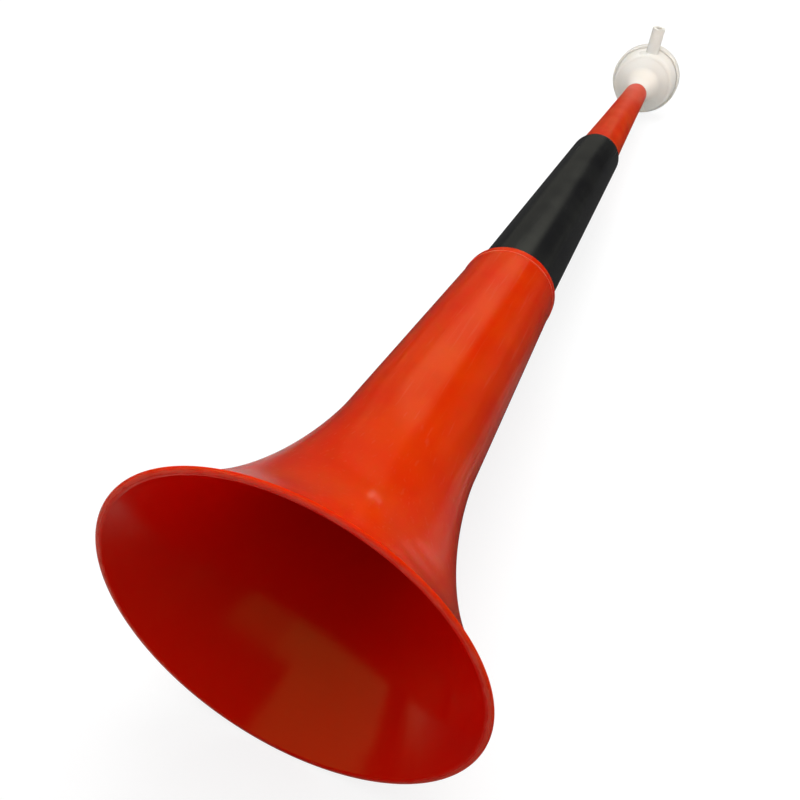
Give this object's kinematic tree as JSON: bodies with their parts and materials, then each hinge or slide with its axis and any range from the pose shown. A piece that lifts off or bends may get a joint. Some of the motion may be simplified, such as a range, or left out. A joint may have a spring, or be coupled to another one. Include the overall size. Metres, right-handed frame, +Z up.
{
  "type": "vuvuzela",
  "caption": "Collapsible stadium horn with a flared bell, sliding tapered sections and a membrane drum mouthpiece with a side blow tube.",
  "frame": {"origin": "on the surface that the horn lies on, under the middle of its footprint", "axes": "+Z up; +Y runs from the bell to the mouthpiece, which lies 3.9 degrees lower; the blow tube points up and the horn is symmetric about X = 0"},
  "size_m": [0.1198, 0.5392, 0.1195],
  "materials": {
    "red_plastic": "glossy moulded plastic, red-orange",
    "black_plastic": "glossy moulded plastic, black",
    "white_plastic": "satin moulded plastic, warm white",
    "clear_film": "thin clear film"
  },
  "bodies": {
    "bell": {"bell_section": "red_plastic"},
    "middle": {"middle_section": "black_plastic"},
    "top": {"top_section": "red_plastic"},
    "mouthpiece": {"mouthpiece_body": "white_plastic", "membrane": "clear_film", "clamp_ring": "white_plastic"}
  },
  "joints": [
    {"name": "middle_slide", "type": "slide", "parent": "bell", "child": "middle", "axis": [0, -0.9977, 0.0681], "range_m": [0, 0.169]},
    {"name": "top_slide", "type": "slide", "parent": "middle", "child": "top", "axis": [0, -0.9977, 0.0681], "range_m": [0, 0.143]},
    {"name": "mouthpiece_swivel", "type": "hinge", "parent": "top", "child": "mouthpiece", "pos_m": [0, 0.22662, 0.02618], "axis": [0, 0.9977, -0.0681], "continuous": true}
  ]
}
